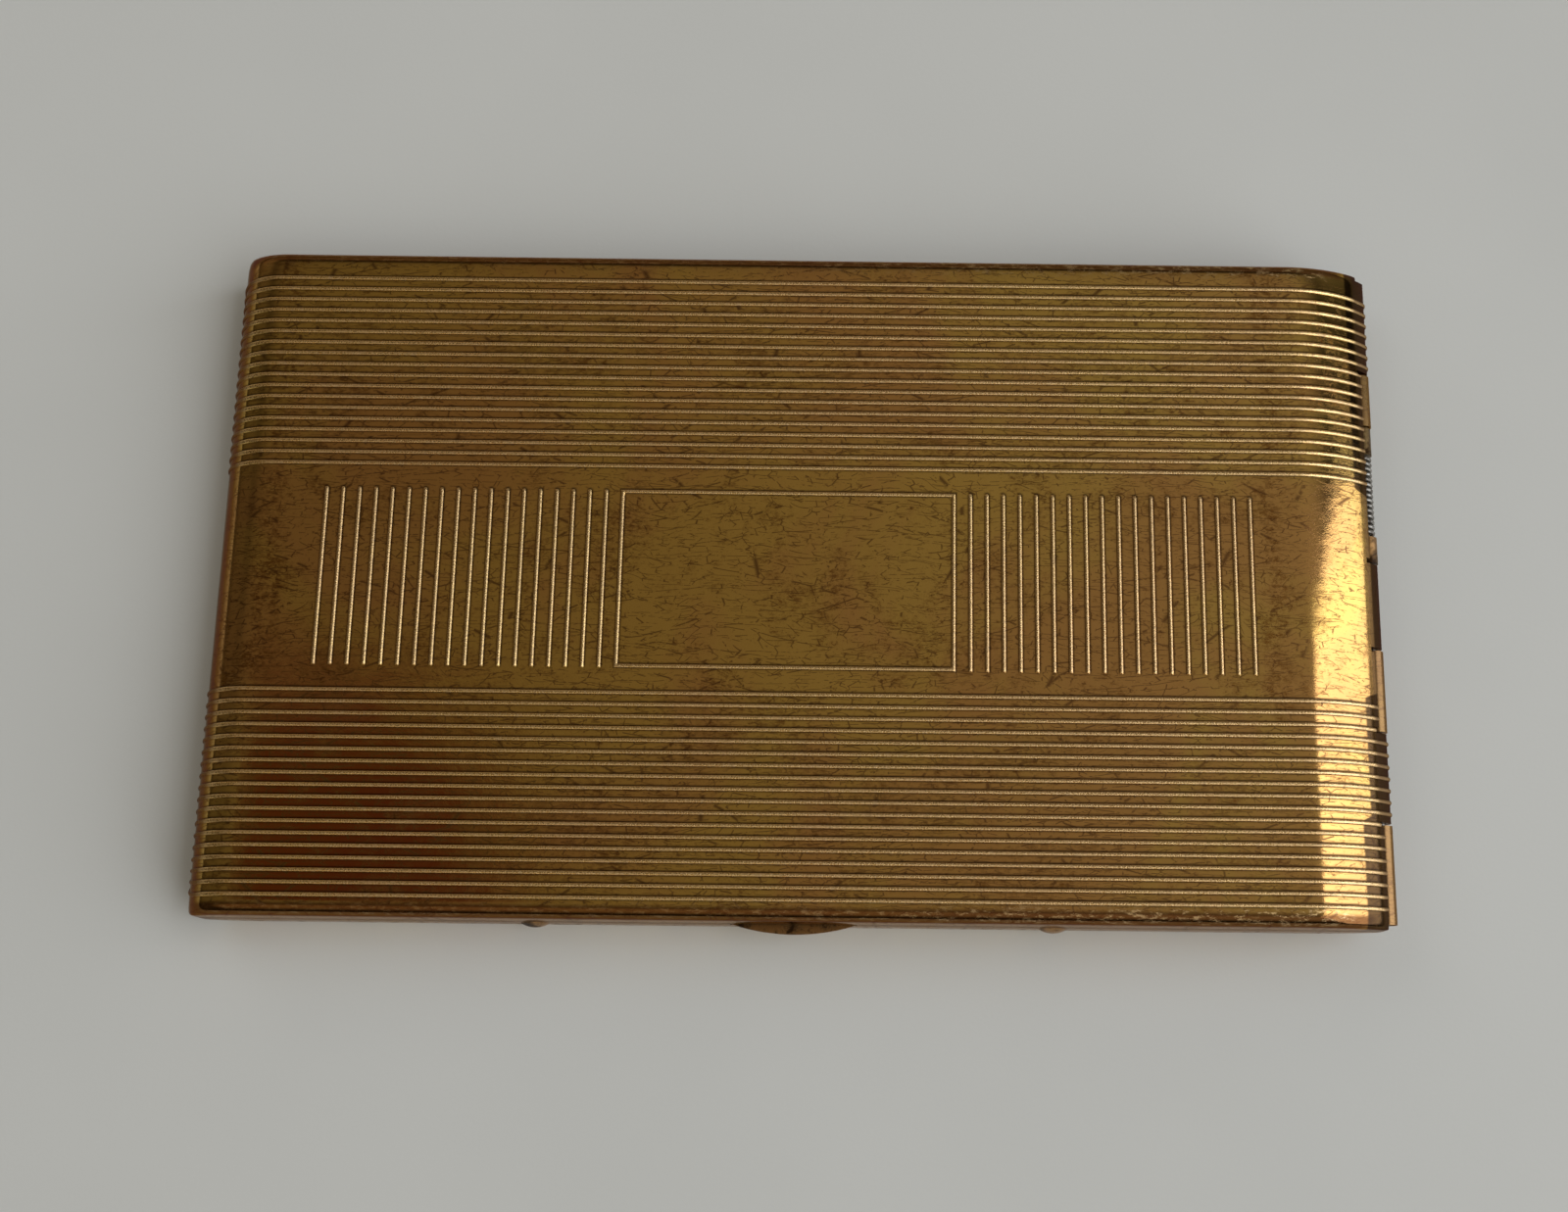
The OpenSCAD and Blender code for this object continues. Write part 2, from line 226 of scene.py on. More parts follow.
def side_profile(inset, flat_x, rolled_r):
    """Side view from the rim of the closed end to the end of the rolled knuckle.
    Gives x, z and the outward normal of each station, and the first station of the lip's
    notch, of the lip and of the roll."""
    radius = END_R - inset
    start = math.asin((RIM_Z - END_Z) / radius)
    a = np.linspace(start, math.pi / 2, 15)[:-1]
    lip = LIP - (LIP_STEP if inset else 0)
    b = np.array([*np.linspace(0, lip - NOTCH_DEPTH, ARC_STEPS + 1)[1:], lip,
                  *np.linspace(lip, TANGENT, 4)[1:]])
    c = TANGENT + np.linspace(0, CURL, 34)[1:]
    grow = smooth(c, TANGENT, TANGENT + 0.7)
    roll = TOUCH_R + (rolled_r - TOUCH_R) * grow - inset
    x = [END_X - radius * np.cos(a), flat_x, ARC_X + (ARC_R - inset) * np.sin(b),
         PIN_X + roll * np.sin(c)]
    z = [END_Z + radius * np.sin(a), np.full(len(flat_x), CASE_H - inset),
         ARC_Z + (ARC_R - inset) * np.cos(b), PIN_Z + roll * np.cos(c)]
    nx = [-np.cos(a), np.zeros(len(flat_x)), np.sin(b), np.sin(c)]
    nz = [np.sin(a), np.ones(len(flat_x)), np.cos(b), np.cos(c)]
    first_arc = len(a) + len(flat_x)
    marks = (first_arc + ARC_STEPS - 1, first_arc + ARC_STEPS, first_arc + len(b))
    return [np.concatenate(part) for part in (x, z, nx, nz)] + [marks]


def end_profile(inset, levels, top_y):
    """End view from the front rim, up the wall, over the top and down the back wall."""
    low = CASE_H - EDGE_R
    knuckle_end = math.acos((LID_SPANS[0][0] - (HALF_W - EDGE_R)) / EDGE_R)
    a = np.array(merged([*np.linspace(0, math.pi / 2, 9)[1:-1], knuckle_end], 0.09))
    wall_z = np.array([*levels, low])
    wall_y = np.full(len(wall_z), HALF_W - inset)
    arc_y = HALF_W - EDGE_R + (EDGE_R - inset) * np.cos(a)
    arc_z = low + (EDGE_R - inset) * np.sin(a)
    side_y, side_z = np.concatenate([wall_y, arc_y]), np.concatenate([wall_z, arc_z])
    top_z = np.full(len(top_y), CASE_H - inset)
    return (np.concatenate([-side_y, top_y, side_y[::-1]]),
            np.concatenate([side_z, top_z, side_z[::-1]]))


def corner_inset(x, inset):
    """How far the side walls stand in, where the corners are rounded in plan."""
    radius = CORNER_R - inset
    d = np.clip(CORNER_R - HALF_LEN - x, 0, radius)
    closed = radius - np.sqrt(radius**2 - d**2)
    reach = ARC_X + ARC_R * math.sin(LIP)
    d = np.clip(np.minimum(x, reach) - (HALF_LEN - HINGE_CORNER_R), 0, HINGE_CORNER_R)
    return closed + HINGE_CORNER_R - np.sqrt(HINGE_CORNER_R**2 - d**2)


def skin(inset, side, end, relief=None):
    """Points of one face of the half shell, as an array of (station, row, xyz)."""
    x, z, nx, nz, _ = side
    y, rise = end
    share = (rise - RIM_Z) / (CASE_H - inset - RIM_Z)
    X = np.repeat(x[:, None], len(y), 1)
    Z = RIM_Z + (z[:, None] - RIM_Z) * share[None, :]
    pull = smooth(np.abs(y), ROUNDING_Y, HALF_W - inset)
    Y = y[None, :] - np.sign(y)[None, :] * corner_inset(x, inset)[:, None] * pull
    if relief is not None:
        X, Z = X + nx[:, None] * relief, Z + nz[:, None] * relief
    return np.stack([X, Y, Z], axis=2)


def active_cells(side, end, spans, cut):
    """Which cells hold metal: all but the hinge's gaps, the lip's notches and the cut-out."""
    x, _, _, _, (notch, lip, _) = side
    y, rise = end
    mid_x, mid_y = (x[1:] + x[:-1]) / 2, (y[1:] + y[:-1]) / 2
    mid_z = (rise[1:] + rise[:-1]) / 2
    own = np.any([(mid_y < back) & (mid_y > front) for back, front in spans], axis=0)
    beside = np.zeros(len(mid_y), bool)
    for edge, outward in knuckle_edges(spans):
        apart = (mid_y - edge) * outward
        beside |= (apart > 0) & (apart < NOTCH_W) & (abs(edge) < CORNER_Y)
    cells = np.ones((len(mid_x), len(mid_y)), bool)
    cells[lip:, :] &= own[None, :]
    cells[notch:lip, :] &= ~beside[None, :]
    in_wall = (mid_y < 0) & (mid_z < RIM_Z + cut[1])
    return cells & ~((np.abs(mid_x) < cut[0])[:, None] & in_wall[None, :])


def solid_faces(cells, rows):
    """Quads of the outer and inner skin and of every edge between metal and no metal."""
    count = (cells.shape[0] + 1) * rows
    i, j = np.nonzero(cells)
    at = lambda u, v: u * rows + v
    ring = [at(i, j), at(i + 1, j), at(i + 1, j + 1), at(i, j + 1)]
    quads = [np.stack(ring, 1), np.stack(ring[::-1], 1) + count]
    padded = np.pad(cells, 1)
    neighbours = [(0, -1), (1, 0), (0, 1), (-1, 0)]
    for k, (du, dv) in enumerate(neighbours):
        open_side = ~padded[i + 1 + du, j + 1 + dv]
        a, b = ring[k][open_side], ring[(k + 1) % 4][open_side]
        quads.append(np.stack([b, a, a + count, b + count], 1))
    return np.concatenate(quads)


def make_mesh(name, points, faces, attributes=None, sharp=35, tidy_normals=False):
    """Object in the row frame from points in millimetres; near points are merged."""
    mesh = bpy.data.meshes.new(name)
    faces = faces.tolist() if isinstance(faces, np.ndarray) else faces
    mesh.from_pydata(np.asarray(points, float) * MM, [], faces)
    for key, values in (attributes or {}).items():
        mesh.attributes.new(key, "FLOAT", "POINT").data.foreach_set(
            "value", np.asarray(values, np.float32))
    work = bmesh.new()
    work.from_mesh(mesh)
    bmesh.ops.remove_doubles(work, verts=work.verts, dist=0.002 * MM)
    if tidy_normals:
        bmesh.ops.recalc_face_normals(work, faces=work.faces)
    work.to_mesh(mesh)
    work.free()
    mesh.shade_smooth()
    mesh.set_sharp_from_angle(angle=math.radians(sharp))
    piece = bpy.data.objects.new(name, mesh)
    bpy.context.scene.collection.objects.link(piece)
    return piece


def half_shell(name, spans, cut, patterned):
    """One stamped shell: the lid as it lies, or the base with z turned over."""
    side_cuts = [-cut[0], cut[0]]
    row_cuts = [y for edge, outward in knuckle_edges(spans)
                for y in (edge, edge + outward * NOTCH_W)]
    if patterned:
        bead_x, bead_y = pattern_cuts()
        side_cuts += bead_x
        row_cuts += bead_y
    top = HALF_W - EDGE_R
    flat_x, top_y = stations(END_X, ARC_X, GRID, side_cuts), stations(-top, top, GRID, row_cuts)
    levels = [RIM_Z, RIM_Z + 0.06, RIM_Z + cut[1], RIM_Z + cut[1] + 0.7]
    outer = side_profile(0, flat_x, KNUCKLE_R - (RIB_H if patterned else 0))
    inner = side_profile(SHEET, flat_x, KNUCKLE_R)
    outer_end, inner_end = end_profile(0, levels, top_y), end_profile(SHEET, levels, top_y)
    gx, gy = np.meshgrid(outer[0], outer_end[0], indexing="ij")
    relief, foot_dirt_and_shade = np.zeros(gx.shape), np.zeros(gx.shape)
    if patterned:
        relief, foot_dirt_and_shade = bead_relief(gx, gy, outer[4][2])
    points = np.concatenate([skin(0, outer, outer_end, relief * RIB_H).reshape(-1, 3),
                             skin(SHEET, inner, inner_end).reshape(-1, 3)])
    faces = solid_faces(active_cells(outer, outer_end, spans, cut), gx.shape[1])
    if not patterned:
        points[:, 2] = CASE_H - points[:, 2]
        faces = faces[:, ::-1]
    inner_skin = np.zeros(relief.size)
    # This attribute holds dirt and painted shade at the beads' feet; the inner skin has none
    attributes = {"relief": np.concatenate([relief.ravel(), inner_skin]),
                  "foot_dirt_and_shade": np.concatenate([foot_dirt_and_shade.ravel(), inner_skin])}
    return make_mesh(name, points, faces, attributes)


# ---- Springs --------------------------------------------------------------------------

def loft_faces(rings, sides):
    """Quads between rings of points, and the two end caps."""
    quads = [[i * sides + k, i * sides + (k + 1) % sides,
              (i + 1) * sides + (k + 1) % sides, (i + 1) * sides + k]
             for i in range(rings - 1) for k in range(sides)]
    last = (rings - 1) * sides
    return [*quads, list(range(sides))[::-1], list(range(last, last + sides))]


def tube(name, path, radius, sides=12):
    """Round wire along a path, with rounded ends."""
    path = np.array(path, float)
    heading = np.gradient(path, axis=0)
    heading /= np.linalg.norm(heading, axis=1)[:, None]
    u = np.cross(heading, (0, 1, 0))
    u /= np.linalg.norm(u, axis=1)[:, None]
    v = np.cross(u, heading)
    turn = 2 * np.pi * np.arange(sides) / sides

    def ring(i, along=0.0, shrink=1.0):
        spokes = np.cos(turn)[:, None] * u[i] + np.sin(turn)[:, None] * v[i]
        return path[i] + radius * (along * heading[i] + shrink * spokes)

    last = len(path) - 1
    rings = [ring(0, -along, shrink) for along, shrink in WIRE_CAP[::-1]]
    rings += [ring(i) for i in range(len(path))]
    rings += [ring(last, along, shrink) for along, shrink in WIRE_CAP]
    return make_mesh(name, np.concatenate(rings), loft_faces(len(rings), sides),
                     sharp=180, tidy_normals=True)


def latch_leaf(side):
    """Half of the leaf spring: flat on the wall at its rivet, bowed in behind the catch.
    Gives the piece, and the points at its rivet and past the catch's plate, between which it is
    bent."""
    (_, y0, z0), (x1, y1, z1) = node_box("latch_leaf")
    rivet_x, plate_x = x1 - RIVET_INSET, node_box("thumb_catch")[1][0] + PLATE_REACH
    run = x1 * (1 - np.linspace(0, 1, 41))
    bow = 1 - smooth(run, plate_x - 0.6, rivet_x)
    y = y0 + (y1 - y0 - LEAF_T) * bow
    half_z, half_t = (z1 - z0) / 2, LEAF_T / 2
    section = [(sy * (half_t - cut_y), sz * (half_z - cut_z))
               for sy, sz, order in ((-1, -1, 1), (1, -1, -1), (1, 1, 1), (-1, 1, -1))
               for cut_y, cut_z in ((0, LEAF_ROUND), (LEAF_ROUND, 0))[::order]]
    points = [(side * run[i], y[i] + half_t + a, (z0 + z1) / 2 + b)
              for i in range(len(run)) for a, b in section]
    name = "latch_leaf_right" if side > 0 else "latch_leaf_left"
    piece = make_mesh(name, points, loft_faces(len(run), len(section)), tidy_normals=True)
    return piece, (side * rivet_x, y0, z0), (side * plate_x, y0, z0)


def spring_pieces():
    """Coil with its leg on the base floor, and the leg under the lid."""
    spring_low, spring_high = node_box("hinge_spring")
    coil_r = (pin_high[2] - pin_low[2]) / 2 + COIL_PLAY + WIRE_R
    back, front = spring_high[1] - WIRE_R, spring_low[1] + WIRE_R
    turns = np.linspace(0, SPRING_TURNS, round(SPRING_TURNS * 24) + 1)
    coil = np.stack([PIN_X + coil_r * np.sin(2 * np.pi * turns),
                     back + (front - back) * turns / SPRING_TURNS,
                     PIN_Z + coil_r * np.cos(2 * np.pi * turns)], 1)
    roof_r = ARC_R - SHEET - WIRE_R - LEG_PLAY
    rise = ARC_Z + math.sqrt(roof_r**2 - LEG_RUN**2) - PIN_Z
    tip_x, bend_x = ARC_X + LEG_RUN, PIN_X - 0.7
    lower_leg = [(bend_x, front, PIN_Z - coil_r), (tip_x, front, PIN_Z - rise)]
    upper_leg = [(tip_x, back, PIN_Z + rise), (bend_x, back, PIN_Z + coil_r),
                 (PIN_X, back, PIN_Z + coil_r)]
    return (tube("hinge_spring_coil", [*coil, *lower_leg], WIRE_R),
            tube("hinge_spring_lid_leg", upper_leg, WIRE_R))


# ---- Materials ------------------------------------------------------------------------

class Graph:
    """Node graph with short calls for the nodes used here."""

    def __init__(self, owner, coordinates):
        owner.use_nodes = True
        self.tree = owner.node_tree
        self.place = self.tree.nodes.new("ShaderNodeTexCoord").outputs[coordinates]

    def put(self, socket, value):
        """Links a socket into another one, or sets its constant value."""
        if isinstance(value, bpy.types.NodeSocket):
            self.tree.links.new(value, socket)
        else:
            socket.default_value = value

    def vector(self, operation, a, b=None, scale=None):
        node = self.tree.nodes.new("ShaderNodeVectorMath")
        node.operation = operation
        self.put(node.inputs[0], a)
        if b is not None:
            self.put(node.inputs[1], b)
        if scale is not None:
            self.put(node.inputs["Scale"], scale)
        return node.outputs[0]

    def math(self, operation, a, b=0.0, clamp=False):
        node = self.tree.nodes.new("ShaderNodeMath")
        node.operation, node.use_clamp = operation, clamp
        self.put(node.inputs[0], a)
        self.put(node.inputs[1], b)
        return node.outputs[0]

    def times(self, *values):
        """Product of all values."""
        total = values[0]
        for value in values[1:]:
            total = self.math("MULTIPLY", total, value)
        return total

    def most(self, *values):
        """Largest of all values."""
        total = values[0]
        for value in values[1:]:
            total = self.math("MAXIMUM", total, value)
        return total

    def remap(self, value, low, high, to_low=0.0, to_high=1.0):
        """Smooth step from to_low at low to to_high at high."""
        node = self.tree.nodes.new("ShaderNodeMapRange")
        node.interpolation_type = "SMOOTHSTEP"
        for key, v in (("Value", value), ("From Min", low), ("From Max", high),
                       ("To Min", to_low), ("To Max", to_high)):
            self.put(node.inputs[key], v)
        return node.outputs["Result"]

    def noise(self, scale, detail=4.0, roughness=0.55, distortion=0.0, place=None):
        node = self.tree.nodes.new("ShaderNodeTexNoise")
        for key, v in (("Vector", place or self.place), ("Scale", scale),
                       ("Detail", detail), ("Roughness", roughness),
                       ("Distortion", distortion)):
            self.put(node.inputs[key], v)
        return node.outputs["Fac"]

    def blend(self, factor, a, b):
        node = self.tree.nodes.new("ShaderNodeMix")
        node.data_type = "RGBA"
        self.put(node.inputs[0], factor)
        self.put(node.inputs[6], (*a, 1) if isinstance(a, tuple) else a)
        self.put(node.inputs[7], (*b, 1) if isinstance(b, tuple) else b)
        return node.outputs[2]

    def attribute(self, name):
        node = self.tree.nodes.new("ShaderNodeAttribute")
        node.attribute_name = name
        return node.outputs["Fac"]

    def axes(self):
        """X, y and z of the place."""
        node = self.tree.nodes.new("ShaderNodeSeparateXYZ")
        self.put(node.inputs[0], self.place)
        return node.outputs[0], node.outputs[1], node.outputs[2]

    def hairs(self, angle, pitch, stretch, width, cover, bend=1.0):
        """Hairline scratches at an angle: the edges of long thin cells, broken up by noise."""
        warp = self.tree.nodes.new("ShaderNodeTexNoise")
        self.put(warp.inputs["Vector"], self.place)
        self.put(warp.inputs["Scale"], 0.11)
        self.put(warp.inputs["Detail"], 2.0)
        shifted = self.vector("MULTIPLY_ADD", warp.outputs["Color"], (5 * bend,) * 3)
        self.put(shifted.node.inputs[2], self.place)
        turned = self.tree.nodes.new("ShaderNodeMapping")
        self.put(turned.inputs["Vector"], shifted)
        self.put(turned.inputs["Rotation"], (0, 0, math.radians(angle)))
        self.put(turned.inputs["Scale"], (1 / (pitch * stretch), 1 / pitch, 1 / pitch))
        cells = self.tree.nodes.new("ShaderNodeTexVoronoi")
        cells.voronoi_dimensions, cells.feature = "2D", "DISTANCE_TO_EDGE"
        self.put(cells.inputs["Vector"], turned.outputs[0])
        self.put(cells.inputs["Scale"], 1.0)
        line = self.remap(cells.outputs["Distance"], 0.0, width / pitch, 1.0, 0.0)
        place = self.vector("ADD", self.place, (angle, pitch * 31, 0))
        broken = self.remap(self.noise(0.9, 3.0, 0.65, place=place), 1 - cover, 1.06 - cover)
        return self.times(line, broken)

    def bump(self, height, depth, normal=None):
        node = self.tree.nodes.new("ShaderNodeBump")
        self.put(node.inputs["Strength"], 1.0)
        self.put(node.inputs["Distance"], depth * MM)
        self.put(node.inputs["Height"], height)
        if normal is not None:
            self.put(node.inputs["Normal"], normal)
        return node.outputs[0]


class Paint(Graph):
    """Node graph of one material, placed by the object's own millimetres."""

    def __init__(self, name):
        self.material = bpy.data.materials.new(name)
        super().__init__(self.material, "Object")
        self.place = self.vector("SCALE", self.place, scale=1 / MM)
        self.shader = self.tree.nodes["Principled BSDF"]

    def finish(self, colour, roughness, normal, metallic=1.0, coat=0.0, edge=(1, 1, 1)):
        self.put(self.shader.inputs["Base Color"], colour)
        self.put(self.shader.inputs["Roughness"], roughness)
        self.put(self.shader.inputs["Normal"], normal)
        self.put(self.shader.inputs["Metallic"], metallic)
        self.put(self.shader.inputs["Specular Tint"], (*edge, 1))
        self.put(self.shader.inputs["Coat Weight"], coat)
        self.put(self.shader.inputs["Coat Roughness"], 0.12)
        return self.material


# Colours of the metal, its stains, its dirt and the painted shade on it; the last one tints it at
# a grazing angle
GOLD = (0.75, 0.48, 0.122)
GOLD_PALE = (0.93, 0.67, 0.36)
GOLD_ROSE = (0.71, 0.385, 0.125)
TARNISH = (0.25, 0.10, 0.016)
# These dark colours serve both dirt and painted shade: at the beads' feet, the lid's lip, the
# walls and the closed end
GRIME_AND_SHADE = (0.035, 0.016, 0.006)
GRIME_RED_AND_SHADE = (0.13, 0.045, 0.012)
DULL_AND_SHADE_BROWN = (0.18, 0.10, 0.048)
EDGE_TINT = (0.55, 0.38, 0.24)

# Hairline scratches, as (angle, distance between cells, share that shows)
LONG_HAIRS = ((14, 1.3, 0.53), (63, 1.9, 0.53), (-38, 1.6, 0.53), (96, 2.3, 0.52))
SHORT_HAIRS = ((-61, 0.6, 0.49), (35, 0.75, 0.49))


def strip(g, along, middle, half_width):
    """1 at the middle of a strip, fading to 0 at its half width."""
    apart = g.math("ABSOLUTE", g.math("SUBTRACT", along, middle))
    return g.remap(apart, 0.0, half_width, 1.0, 0.0)


def tarnish(g, colour, x, y, patches):
    """Brown stains in patches and at the bends. Gives the colour, and where it is stained."""
    specks = g.noise(2.3, 7.0, 0.78, 0.2, g.vector("MULTIPLY", g.place, (0.75, 1.15, 1)))
    bends = g.most(strip(g, x, ARC_X - 2.2, 2.0), strip(g, x, END_X + 0.6, 2.4))
    bends = g.times(bends, g.remap(y, -16.0, -4.0, 0.35, 1.0))
    ground = g.math("ADD", patches, g.times(bends, 0.15))
    stain = g.times(g.remap(ground, 0.47, 0.7), g.remap(specks, 0.42, 0.6))
    spots = g.times(g.remap(specks, 0.55, 0.63), g.remap(ground, 0.4, 0.58))
    stained = g.most(stain, spots)
    return g.blend(g.times(stained, 0.9), colour, TARNISH), stained


def scratches(g, colour):
    """Long and short hairline scratches. Gives the colour, and where they are."""
    hairs = [g.hairs(angle, pitch, 11, 0.035, cover, 0.35) for angle, pitch, cover in LONG_HAIRS]
    hairs += [g.hairs(angle, pitch, 2.6, 0.04, cover, 1.2) for angle, pitch, cover in SHORT_HAIRS]
    marks = g.most(*hairs)
    return g.blend(g.times(marks, 0.8), colour, GRIME_RED_AND_SHADE), marks


def bead_wear_and_shade(g, colour, relief, speckle):
    """Dirt and painted shade at the feet of the beads, and pale worn crests. Gives the colour and
    the crests.
    """
    # Dirt and painted shade at the beads' feet, heaviest on their far side
    foot_dirt_and_shade = g.math("POWER", g.attribute("foot_dirt_and_shade"), 1.2)
    colour = g.blend(g.times(foot_dirt_and_shade, 0.95), colour, GRIME_AND_SHADE)
    crest = g.times(g.remap(relief, 0.2, 0.7), g.math("ADD", 0.55, g.times(speckle, 0.45)))
    return g.blend(g.times(crest, 0.8), colour, GOLD_PALE), crest


def edge_dirt_and_shade(g, colour, x, y, z):
    """Painted shade on the walls by the rim, darker and duller knuckles, dirt on the long top
    edges, and painted shade round the closed end. Gives the colour, and where it is darkened and
    dulled."""
    # Painted shade: the walls near the rim are darkened for the shadowed floor they would mirror;
    # the knuckles are made darker and duller too
    dull_and_shade = g.most(g.remap(x, PIN_X - 0.9, PIN_X - 0.3), strip(g, z, CASE_H / 2, 2.6))
    colour = g.blend(g.times(dull_and_shade, 0.8), colour, DULL_AND_SHADE_BROWN)
    out = g.math("ABSOLUTE", y)
    bevel = g.times(g.remap(out, HALF_W - 1.25, HALF_W - 0.8), g.remap(z, 5.6, 6.4))
    colour = g.blend(g.times(bevel, 0.9), colour, GRIME_RED_AND_SHADE)
    # Painted shade: the closed end's curve is darkened where it would mirror the bright floor
    end = g.remap(x, END_X - 2.2, END_X - 3.2)
    return g.blend(g.times(end, 0.85), colour, GRIME_RED_AND_SHADE), dull_and_shade


def lip_shade(g, colour, x, y, relief):
    """Painted shade: black between the beads at the lid's lip, for the dark reflection there. It
    starts further from the pin between the ribs, and further still beyond the front knuckle."""
    front_end = LID_SPANS[-1][1]
    band = g.remap(g.math("ABSOLUTE", g.math("SUBTRACT", y, PATTERN_Y)), 8.6, 9.3)
    beyond = g.remap(y, front_end + 0.45, front_end - 0.15)
    start = g.math("SUBTRACT", PIN_X - 0.25, g.times(band, 1.25))
    start = g.math("SUBTRACT", start, g.times(beyond, 0.8))
    lip = g.remap(g.math("SUBTRACT", x, start), 0.0, 0.25)
    lip = g.times(lip, g.remap(relief, 0.15, 0.6, 1.0, 0.0))
    return g.blend(g.times(lip, 0.9), colour, GRIME_AND_SHADE)


def border_wear(g, colour, x, y, z):
    """Pale rubbed flecks along the long edges, more of them towards the hinge.
    Gives the colour, and where it is rubbed."""
    border = g.remap(g.math("ABSOLUTE", y), RIB_EDGE - 0.2, RIB_EDGE + 0.5)
    streaks = g.noise(1.9, 6.0, 0.8, 0.0, g.vector("MULTIPLY", g.place, (0.6, 1.6, 1)))
    worn = g.times(border, g.remap(streaks, 0.5, 0.62), g.remap(z, 6.6, 7.3))
    worn = g.times(worn, g.remap(x, -20.0, 45.0, 0.25, 0.9))
    return g.blend(g.times(worn, 0.65), colour, GOLD_PALE), worn


def gilt_brass(name, has_lip_shade):
    """Aged gold-plated brass: mottled brown tarnish, hairline scratches, worn crests."""
    g = Paint(name)
    relief = g.attribute("relief")
    x, y, z = g.axes()
    clouds = g.noise(0.055, 5.0, 0.6, 0.6)
    patches = g.noise(0.2, 6.0, 0.68, 0.4, g.vector("ADD", g.place, (40, 0, 0)))
    fine = g.noise(7.0, 3.0, 0.6)
    speckle = g.remap(fine, 0.4, 0.6)
    colour = g.blend(g.remap(clouds, 0.42, 0.64), GOLD, GOLD_ROSE)
    colour, stained = tarnish(g, colour, x, y, patches)
    colour, marks = scratches(g, colour)
    colour, crest = bead_wear_and_shade(g, colour, relief, speckle)
    colour, dull_and_shade = edge_dirt_and_shade(g, colour, x, y, z)
    # Painted shade at the lid's lip
    if has_lip_shade:
        colour = lip_shade(g, colour, x, y, relief)
    colour, worn = border_wear(g, colour, x, y, z)
    rough = g.math("ADD", 0.055, g.times(g.remap(patches, 0.35, 0.75), 0.06))
    rough = g.math("ADD", rough, g.times(g.most(marks, stained, dull_and_shade), 0.2))
    rough = g.math("ADD", rough, g.times(g.most(crest, worn), 0.26), clamp=True)
    normal = g.bump(g.noise(0.5, 3.0, 0.5), 0.012)
    normal = g.bump(fine, 0.002, normal)
    normal = g.bump(g.times(crest, speckle), 0.006, normal)
    return g.finish(colour, rough, normal, coat=0.2, edge=EDGE_TINT)


def plain_metal(name, light, dark, rough, grain):
    """Metal of the small parts, with stains, fine grain and draw marks."""
    g = Paint(name)
    stains = g.remap(g.noise(grain, 6.0, 0.7, 0.5), 0.42, 0.66)
    specks = g.remap(g.noise(grain * 5, 4.0, 0.7), 0.52, 0.68)
    colour = g.blend(g.most(stains, g.times(specks, 0.7)), light, dark)
    roughness = g.math("ADD", rough, g.times(stains, 0.25), clamp=True)
    draw = g.noise(6.0, 3.0, 0.6, 0.0, g.vector("MULTIPLY", g.place, (1, 0.15, 1)))
    return g.finish(colour, roughness, g.bump(draw, 0.012), coat=0.1)


# ---- Build ----------------------------------------------------------------------------

gilt_lid = gilt_brass("gilt_brass_lid", True)
gilt_base = gilt_brass("gilt_brass_base", False)
gilt_small = plain_metal("gilt_brass_small", GOLD, TARNISH, 0.24, 0.8)
worn_brass = plain_metal("worn_brass", (0.40, 0.22, 0.085), GRIME_AND_SHADE, 0.3, 0.5)
dark_brass = plain_metal("dark_brass", (0.20, 0.13, 0.055), GRIME_AND_SHADE, 0.36, 1.4)
steel_wire = plain_metal("steel_wire", (0.34, 0.32, 0.29), (0.06, 0.045, 0.035), 0.3, 2.2)
spring_strip = plain_metal("spring_strip", (0.42, 0.40, 0.37), (0.12, 0.08, 0.05), 0.28, 0.9)


def dress(piece, material, body, nodes=()):
    """Gives a piece its material and body, and hides the CAD nodes it stands for."""
    piece.data.materials.clear()
    piece.data.materials.append(material)
    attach(piece, body)
    if nodes:
        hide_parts(*nodes)


dress(half_shell("lid_skin", LID_SPANS, THUMB_CUT, True), gilt_lid, "lid",
      ["lid_shell"])
dress(half_shell("base_skin", BASE_SPANS, TAB_NOTCH, False), gilt_base, "base",
      ["base_shell"])
coil, lid_leg = spring_pieces()
dress(coil, steel_wire, "base", ["hinge_spring"])
dress(lid_leg, steel_wire, "lid")
for leaf_side in (-1, 1):
    leaf, fixed, pushed = latch_leaf(leaf_side)
    leaf.data.materials.append(spring_strip)
    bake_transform(leaf)
    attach(leaf, "base")
    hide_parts("latch_leaf")

# CAD nodes shown as they are, with the material of each
CARRIED = {
    "spring_collar_front": worn_brass, "thumb_catch": worn_brass, "latch_rivets": worn_brass,
    "card_retainer": gilt_small, "spring_collar_back": dark_brass, "lid_strike": dark_brass,
    "retainer_ears": dark_brass, "hinge_pin": steel_wire, "retainer_pin": steel_wire,
}
for node_name, material in CARRIED.items():
    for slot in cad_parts[node_name].material_slots:
        slot.material = material


# ---- Stage, light and camera ----------------------------------------------------------

DAYLIGHT = (0.96, 1.0, 1.05)


def floor():
    """Plain pale floor under the case."""
    half, count = 4000.0, 41
    line = np.linspace(-half, half, count)
    gx, gy = np.meshgrid(line, line, indexing="ij")
    points = np.stack([gx, gy, np.full(gx.shape, -0.01)], 2).reshape(-1, 3)
    faces = [(i * count + j, (i + 1) * count + j, (i + 1) * count + j + 1, i * count + j + 1)
             for i in range(count - 1) for j in range(count - 1)]
    piece = make_mesh("floor", points, faces)
    g = Paint("floor_paint")
    tint = g.blend(g.remap(g.noise(0.02, 3.0), 0.35, 0.65),
                   (0.67, 0.68, 0.665), (0.69, 0.70, 0.685))
    normal = g.bump(g.noise(2.5, 3.0, 0.6), 0.01)
    g.finish(tint, 0.6, normal, metallic=0.0)
    piece.data.materials.append(g.material)


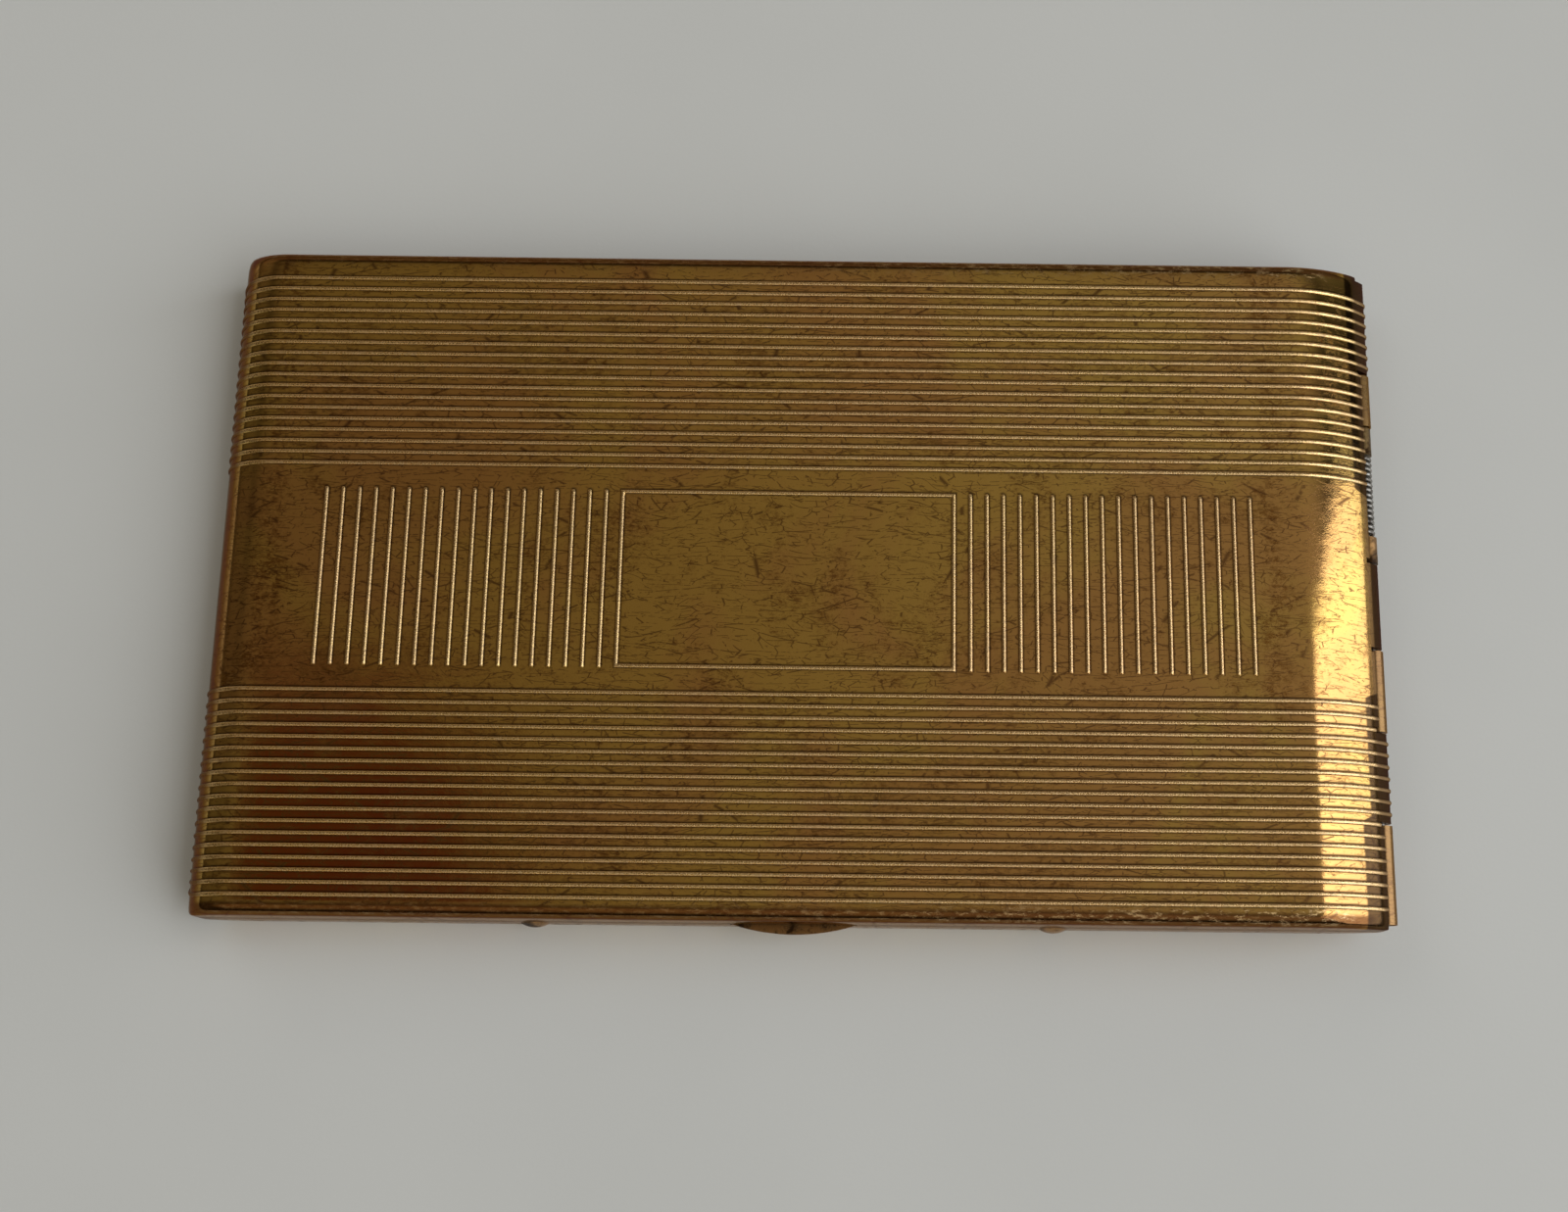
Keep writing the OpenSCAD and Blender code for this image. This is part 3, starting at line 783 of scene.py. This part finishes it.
def area_light(name, size, radiance, place, facing):
    """Rectangular soft light of an even radiance; size and place are in millimetres."""
    data = bpy.data.lights.new(name, "AREA")
    data.shape, data.size, data.size_y = "RECTANGLE", size[0] * MM, size[1] * MM
    data.energy = radiance * math.pi * (size[0] * MM) * (size[1] * MM)
    data.color = DAYLIGHT
    light = bpy.data.objects.new(name, data)
    light.location = Vector(place) * MM
    light.rotation_euler = facing.to_euler()
    bpy.context.scene.collection.objects.link(light)
    return light


def window(distance, y_range, z_range, lean, radiance):
    """Tall light on the hinge side, facing the case, its top leaning towards the far side."""
    size = (z_range[1] - z_range[0], y_range[1] - y_range[0])
    facing = Matrix.Rotation(-lean, 3, "X") @ Matrix.Rotation(math.radians(90), 3, "Y")
    area_light("window", size, radiance, (distance, sum(y_range) / 2, sum(z_range) / 2), facing)


def surroundings():
    """Room light: dark round the horizon, with a glow low on the far side, dim overhead and
    brighter towards the window, and one dark red thing overhead."""
    world = bpy.data.worlds.new("room")
    bpy.context.scene.world = world
    g = Graph(world, "Generated")
    x, y, z = g.axes()
    height = g.remap(g.math("SUBTRACT", z, g.times(y, 0.3)), 0.5, 0.82)
    level = g.math("ADD", 0.045, g.times(height, g.remap(x, -0.5, 0.5, 0.07, 0.26)))
    level = g.math("ADD", level, g.times(g.remap(y, -0.3, -0.6), g.remap(z, 0.35, 0.7), 0.3))
    far = g.times(g.remap(y, 0.35, 0.65), g.remap(z, 0.02, 0.15), g.remap(z, 0.72, 0.5), 0.25)
    level = g.math("ADD", level, far)
    left = g.times(g.remap(x, -0.6, -0.85), g.remap(z, -0.05, 0.25), 0.04)
    tint = g.blend(g.remap(x, -0.25, 0.3), (1.0, 0.80, 0.52), (1.0, 0.93, 0.76))
    grey = g.vector("SCALE", tint, scale=g.math("ADD", level, left))
    away = g.vector("DISTANCE", g.place, (-0.26, 0.11, 0.96))
    red = g.remap(away.node.outputs["Value"], 0.05, 0.13, 1.0, 0.0)
    colour = g.blend(g.times(red, 0.92), grey, (0.06, 0.014, 0.006))
    g.put(g.tree.nodes["Background"].inputs["Color"], colour)


def softbox(name, place, size, radiance):
    """Square light over the floor, aimed at the case and left out of reflections."""
    facing = Vector(place).to_track_quat("Z", "Y")
    area_light(name, (size, size), radiance, place, facing).visible_glossy = False


def camera():
    """Camera above the case and a little in front of it."""
    data = bpy.data.cameras.new("camera")
    data.lens, data.sensor_width = 45, 36
    data.shift_x = -0.0555
    data.clip_start, data.clip_end = 0.01, 10
    piece = bpy.data.objects.new("camera", data)
    piece.location = np.array([5.65, -42.73, 167.45]) * MM
    piece.rotation_euler = (0.2456, -0.0056, 0.0112)
    bpy.context.scene.collection.objects.link(piece)
    bpy.context.scene.camera = piece


floor()
window(1200, (-1700, 488), (180, 2700), math.radians(5.7), 2.15)
softbox("softbox", (600, 420, 1150), 900, 0.45)
softbox("fill", (-700, 600, 800), 700, 0.8)
surroundings()
camera()
bpy.context.scene.view_settings.view_transform = "Standard"
